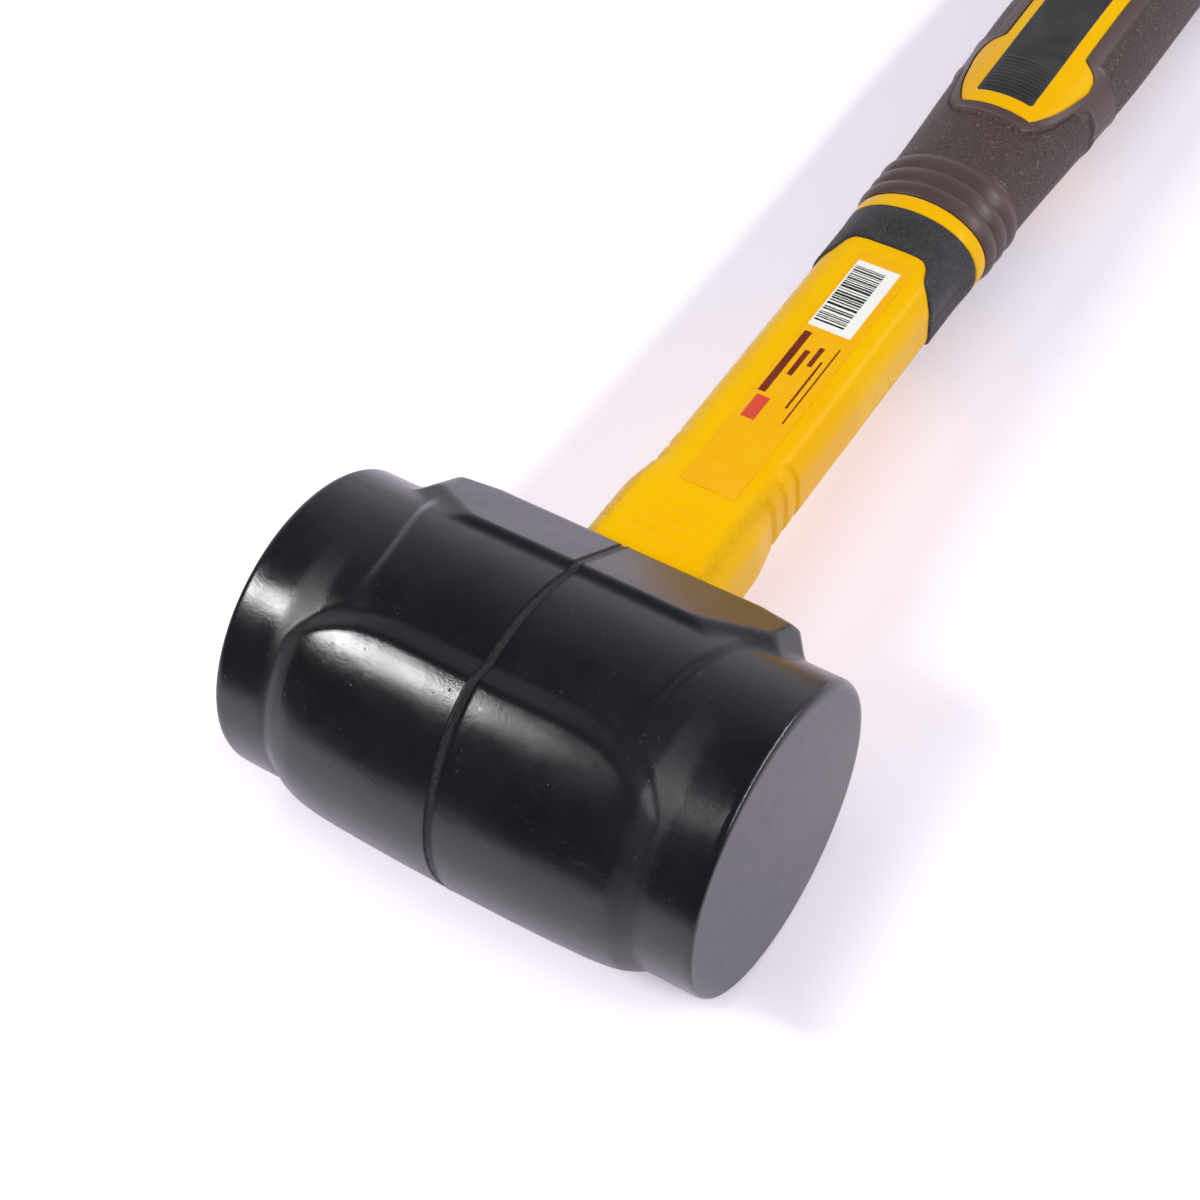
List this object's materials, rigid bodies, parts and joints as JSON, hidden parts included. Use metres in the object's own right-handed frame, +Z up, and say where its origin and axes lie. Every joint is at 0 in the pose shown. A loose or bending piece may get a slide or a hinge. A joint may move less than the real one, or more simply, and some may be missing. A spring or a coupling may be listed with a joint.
{
  "type": "rubber mallet",
  "caption": "Rubber mallet with a cylindrical two-faced rubber head bonded to a flat-sided jacketed fibreglass handle, with a soft grip that has a hang hole in the butt.",
  "frame": {"origin": "on the surface the mallet lies on, below the middle of its bounding box", "axes": "+X along the head, out of the right-hand striking face seen from above with the handle pointing away; +Y from the head towards the butt of the handle; +Z up from the surface. The mallet lies on its side, so the handle dips by 3.35 degrees from head to butt."},
  "size_m": [0.104, 0.3342, 0.064],
  "materials": {
    "head_rubber": "satin moulded rubber with fine pits, scuffs and a dusty bloom",
    "adhesive": "cured epoxy",
    "fibreglass": "pultruded glass fibre rod",
    "jacket_plastic": "yellow moulded plastic, satin to gloss with a fine grain",
    "collar_rubber": "black soft plastic with a leather grain",
    "grip_rubber": "warm dark brown soft grip with textured panels",
    "badge_plastic": "black inlay with fine ribs",
    "label_film": "clear glossy film over yellow, with plain printed blocks"
  },
  "bodies": {
    "root": {"rubber_head": "head_rubber", "socket_adhesive": "adhesive", "core_rod": "fibreglass", "shaft_jacket": "jacket_plastic", "collar": "collar_rubber", "grip": "grip_rubber", "badge_front": "badge_plastic", "badge_back": "badge_plastic", "shaft_label": "label_film"}
  },
  "joints": []
}
